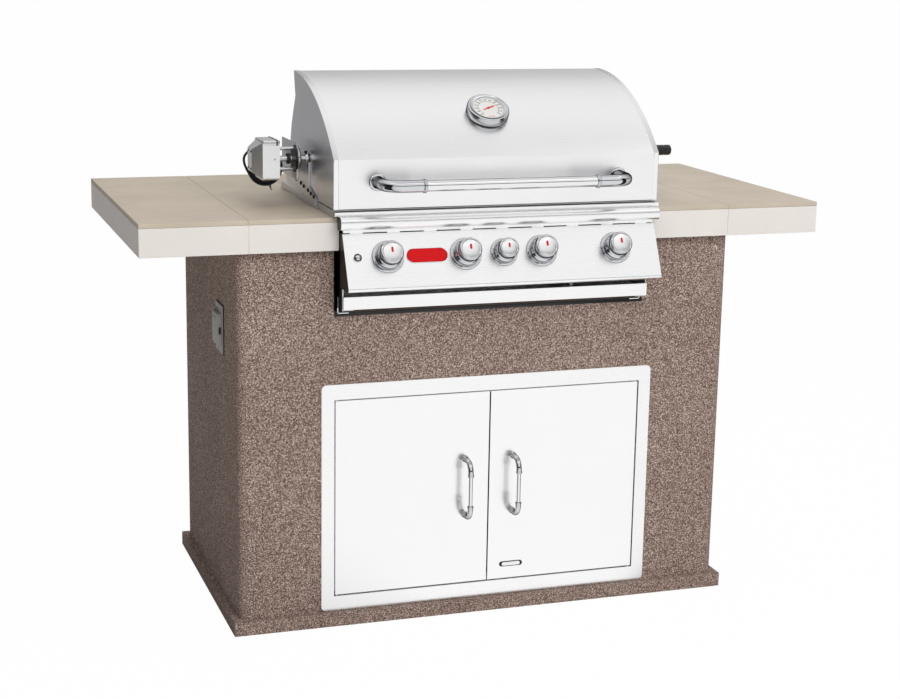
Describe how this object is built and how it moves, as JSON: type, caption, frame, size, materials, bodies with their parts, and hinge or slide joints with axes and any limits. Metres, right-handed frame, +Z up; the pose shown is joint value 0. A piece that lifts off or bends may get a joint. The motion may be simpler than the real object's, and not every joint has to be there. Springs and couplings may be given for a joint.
{
  "type": "outdoor kitchen island",
  "caption": "Outdoor kitchen island: stuccoed base, tiled counter, built-in gas grill with hinged hood, motor-driven spit, grease tray, access doors and a covered outlet.",
  "frame": {"origin": "on the floor under the middle of the island's bounding box, measured without the motor's cord and plug", "axes": "+X to the right and +Y to the back as seen from the front of the grill, +Z up"},
  "size_m": [1.68, 0.8884, 1.2949],
  "materials": {
    "stucco": "fine sanded stucco",
    "top_tile": "matt tile",
    "edge_tile": "matt tile",
    "deck": "raw cement board",
    "frame_tube": "mill finish",
    "brushed_steel": "brushed",
    "bright_chrome": "polished",
    "burner_steel": "heat-darkened",
    "gas_pipe": "plain pipe",
    "grey_plastic": "moulded",
    "motor_housing": "satin sheet",
    "black_plastic": "moulded",
    "black_rubber": "matt"
  },
  "bodies": {
    "island": {"stucco_wall_front": "stucco", "stucco_wall_back": "stucco", "stucco_wall_left": "stucco", "side_frame_left": "frame_tube", "support_rail_left": "frame_tube", "stucco_wall_right": "stucco", "side_frame_right": "frame_tube", "support_rail_right": "frame_tube", "counter_deck": "deck", "top_tile_outer_left": "top_tile", "top_tile_inner_left": "top_tile", "top_tile_inner_right": "top_tile", "top_tile_outer_right": "top_tile", "top_tile_back": "top_tile", "edge_tile_front_right": "edge_tile", "edge_tile_front_left": "edge_tile", "edge_tile_left": "edge_tile", "edge_tile_right": "edge_tile", "edge_tile_back": "edge_tile", "door_frame": "brushed_steel", "outlet_plate": "grey_plastic", "grill_body": "brushed_steel", "front_rail": "brushed_steel", "control_panel": "brushed_steel", "gas_manifold": "gas_pipe", "burner_1": "burner_steel", "burner_2": "burner_steel", "burner_3": "burner_steel", "burner_4": "burner_steel", "rear_burner": "burner_steel", "cooking_grate_right": "brushed_steel", "cooking_grate_left": "brushed_steel", "warming_rack": "brushed_steel", "spit_bracket": "brushed_steel", "motor_bracket": "brushed_steel", "spit_motor": "motor_housing", "motor_cord": "black_rubber", "motor_plug": "black_rubber"},
    "hood": {"hood": "brushed_steel", "hood_bar": "brushed_steel", "hood_elbow_left": "bright_chrome", "hood_elbow_right": "bright_chrome", "thermometer": "bright_chrome"},
    "left_door": {"door_left": "brushed_steel", "door_handle_left": "bright_chrome"},
    "right_door": {"door_right": "brushed_steel", "door_handle_right": "bright_chrome"},
    "tray": {"grease_tray": "brushed_steel"},
    "spit": {"spit_rod": "brushed_steel", "spit_collar": "brushed_steel", "spit_grip": "black_plastic", "spit_fork_left": "brushed_steel", "spit_fork_right": "brushed_steel"},
    "cover": {"outlet_cover": "grey_plastic"},
    "far_left_knob": {"knob_far_left": "bright_chrome"},
    "left_knob": {"knob_left": "bright_chrome"},
    "middle_knob": {"knob_middle": "bright_chrome"},
    "right_knob": {"knob_right": "bright_chrome"},
    "far_right_knob": {"knob_far_right": "bright_chrome"},
    "button": {"ignition_button": "bright_chrome"}
  },
  "joints": [
    {"name": "hood_hinge", "type": "hinge", "parent": "island", "child": "hood", "pos_m": [0, 0.08415, 1.055], "axis": [-1, 0, 0], "range_deg": [0, 80]},
    {"name": "left_door_hinge", "type": "hinge", "parent": "island", "child": "left_door", "pos_m": [-0.38, -0.30805, 0.3144], "axis": [0, 0, -1], "range_deg": [0, 105]},
    {"name": "right_door_hinge", "type": "hinge", "parent": "island", "child": "right_door", "pos_m": [0.38, -0.30805, 0.3144], "axis": [0, 0, 1], "range_deg": [0, 105]},
    {"name": "tray_slide", "type": "slide", "parent": "island", "child": "tray", "axis": [0, -1, 0], "range_m": [0, 0.3]},
    {"name": "spit_turn", "type": "hinge", "parent": "island", "child": "spit", "pos_m": [0, -0.12085, 1.101], "axis": [1, 0, 0], "continuous": true},
    {"name": "cover_hinge", "type": "hinge", "parent": "island", "child": "cover", "pos_m": [-0.6236, -0.08835, 0.703], "axis": [0, 0, -1], "range_deg": [0, 110]},
    {"name": "button_push", "type": "slide", "parent": "island", "child": "button", "axis": [0, 0.896, -0.4441], "range_m": [0, 0.003], "stiffness_N_per_m": 400, "springref_m": -0.002},
    {"name": "far_left_knob_turn", "type": "hinge", "parent": "island", "child": "far_left_knob", "pos_m": [-0.2845, -0.3931, 0.90606], "axis": [0, -0.896, 0.4441], "range_deg": [0, 230]},
    {"name": "left_knob_turn", "type": "hinge", "parent": "island", "child": "left_knob", "pos_m": [-0.0975, -0.3931, 0.90606], "axis": [0, -0.896, 0.4441], "range_deg": [0, 230]},
    {"name": "middle_knob_turn", "type": "hinge", "parent": "island", "child": "middle_knob", "pos_m": [-0.004, -0.3931, 0.90606], "axis": [0, -0.896, 0.4441], "range_deg": [0, 230]},
    {"name": "right_knob_turn", "type": "hinge", "parent": "island", "child": "right_knob", "pos_m": [0.0895, -0.3931, 0.90606], "axis": [0, -0.896, 0.4441], "range_deg": [0, 230]},
    {"name": "far_right_knob_turn", "type": "hinge", "parent": "island", "child": "far_right_knob", "pos_m": [0.2765, -0.3931, 0.90606], "axis": [0, -0.896, 0.4441], "range_deg": [0, 230]}
  ]
}
